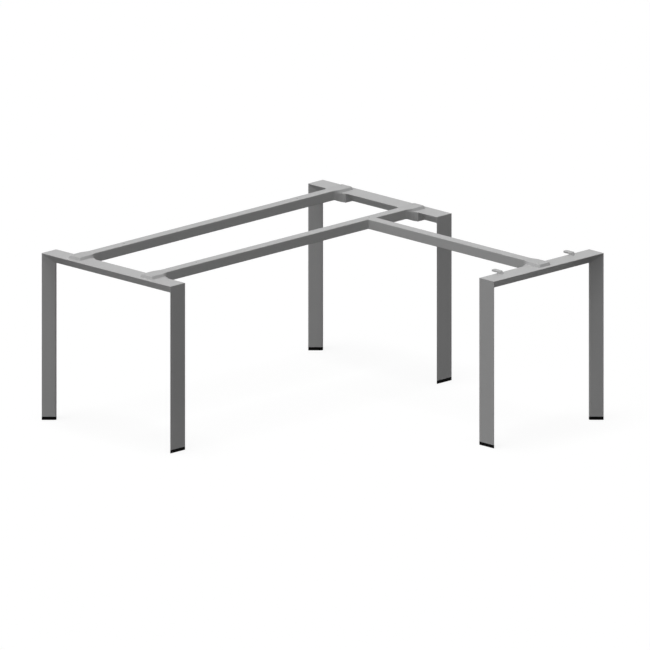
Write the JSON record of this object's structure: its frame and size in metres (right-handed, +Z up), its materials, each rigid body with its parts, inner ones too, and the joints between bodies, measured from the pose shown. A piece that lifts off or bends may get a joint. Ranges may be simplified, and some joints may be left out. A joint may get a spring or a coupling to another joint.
{
  "type": "l-shaped desk frame with triangular legs",
  "caption": "Underframe for an L-shaped desk: goal-post frames of triangular steel tube on black feet, tied by rectangular beams with cast saddle connectors.",
  "frame": {"origin": "on the floor in the middle of the footprint's bounding box", "axes": "+X along the main beams from the left frame to the right frame, +Y from the return frame to the rear legs, +Z up"},
  "size_m": [1.625, 1.6234, 0.7185],
  "materials": {
    "powder_coated_steel": "silver-grey powder coat, satin",
    "die_cast": "die-cast, silver-grey powder coat, satin",
    "black_plastic": "moulded black nylon, fine grain",
    "bare_aluminium": "as extruded",
    "zinc_plated_steel": "bright zinc plate"
  },
  "bodies": {
    "root": {"left_rear_leg": "powder_coated_steel", "left_rear_foot": "black_plastic", "left_front_leg": "powder_coated_steel", "left_front_foot": "black_plastic", "right_rear_leg": "powder_coated_steel", "right_rear_foot": "black_plastic", "right_front_leg": "powder_coated_steel", "right_front_foot": "black_plastic", "return_outer_leg": "powder_coated_steel", "return_outer_foot": "black_plastic", "return_inner_leg": "powder_coated_steel", "return_inner_foot": "black_plastic", "left_top_rail": "powder_coated_steel", "right_top_rail": "powder_coated_steel", "return_top_rail": "powder_coated_steel", "rear_beam": "powder_coated_steel", "front_beam": "powder_coated_steel", "return_beam": "powder_coated_steel", "return_inner_tab": "powder_coated_steel", "return_outer_tab": "powder_coated_steel", "left_rear_connector": "die_cast", "left_front_connector": "die_cast", "right_rear_connector": "die_cast", "right_front_connector": "die_cast", "return_connector": "die_cast", "tee_plug": "bare_aluminium", "tongue_screws": "zinc_plated_steel", "rivet_nuts": "zinc_plated_steel", "beam_screws": "zinc_plated_steel", "tee_bolts": "zinc_plated_steel"}
  },
  "joints": []
}
